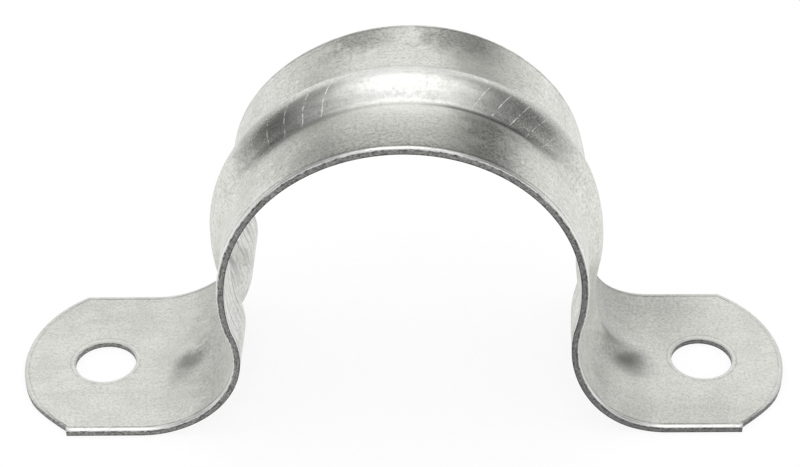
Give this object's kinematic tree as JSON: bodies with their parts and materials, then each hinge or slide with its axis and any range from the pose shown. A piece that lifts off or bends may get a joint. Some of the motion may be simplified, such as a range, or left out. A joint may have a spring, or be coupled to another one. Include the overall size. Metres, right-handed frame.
{
  "type": "two-hole tube strap",
  "caption": "Pressed sheet-steel strap that arches over a conduit, with a stiffening rib and a flat, round-ended foot with a screw hole on each side.",
  "frame": {"origin": "on the mounting plane, midway between the two screw holes and midway across the strap's width", "axes": "+X along the strap from foot to foot, +Y along the conduit, +Z out of the mounting plane towards the crown"},
  "size_m": [0.0614, 0.0164, 0.0287],
  "materials": {
    "galvanised_steel": "satin"
  },
  "bodies": {
    "root": {"strap": "galvanised_steel"}
  },
  "joints": []
}
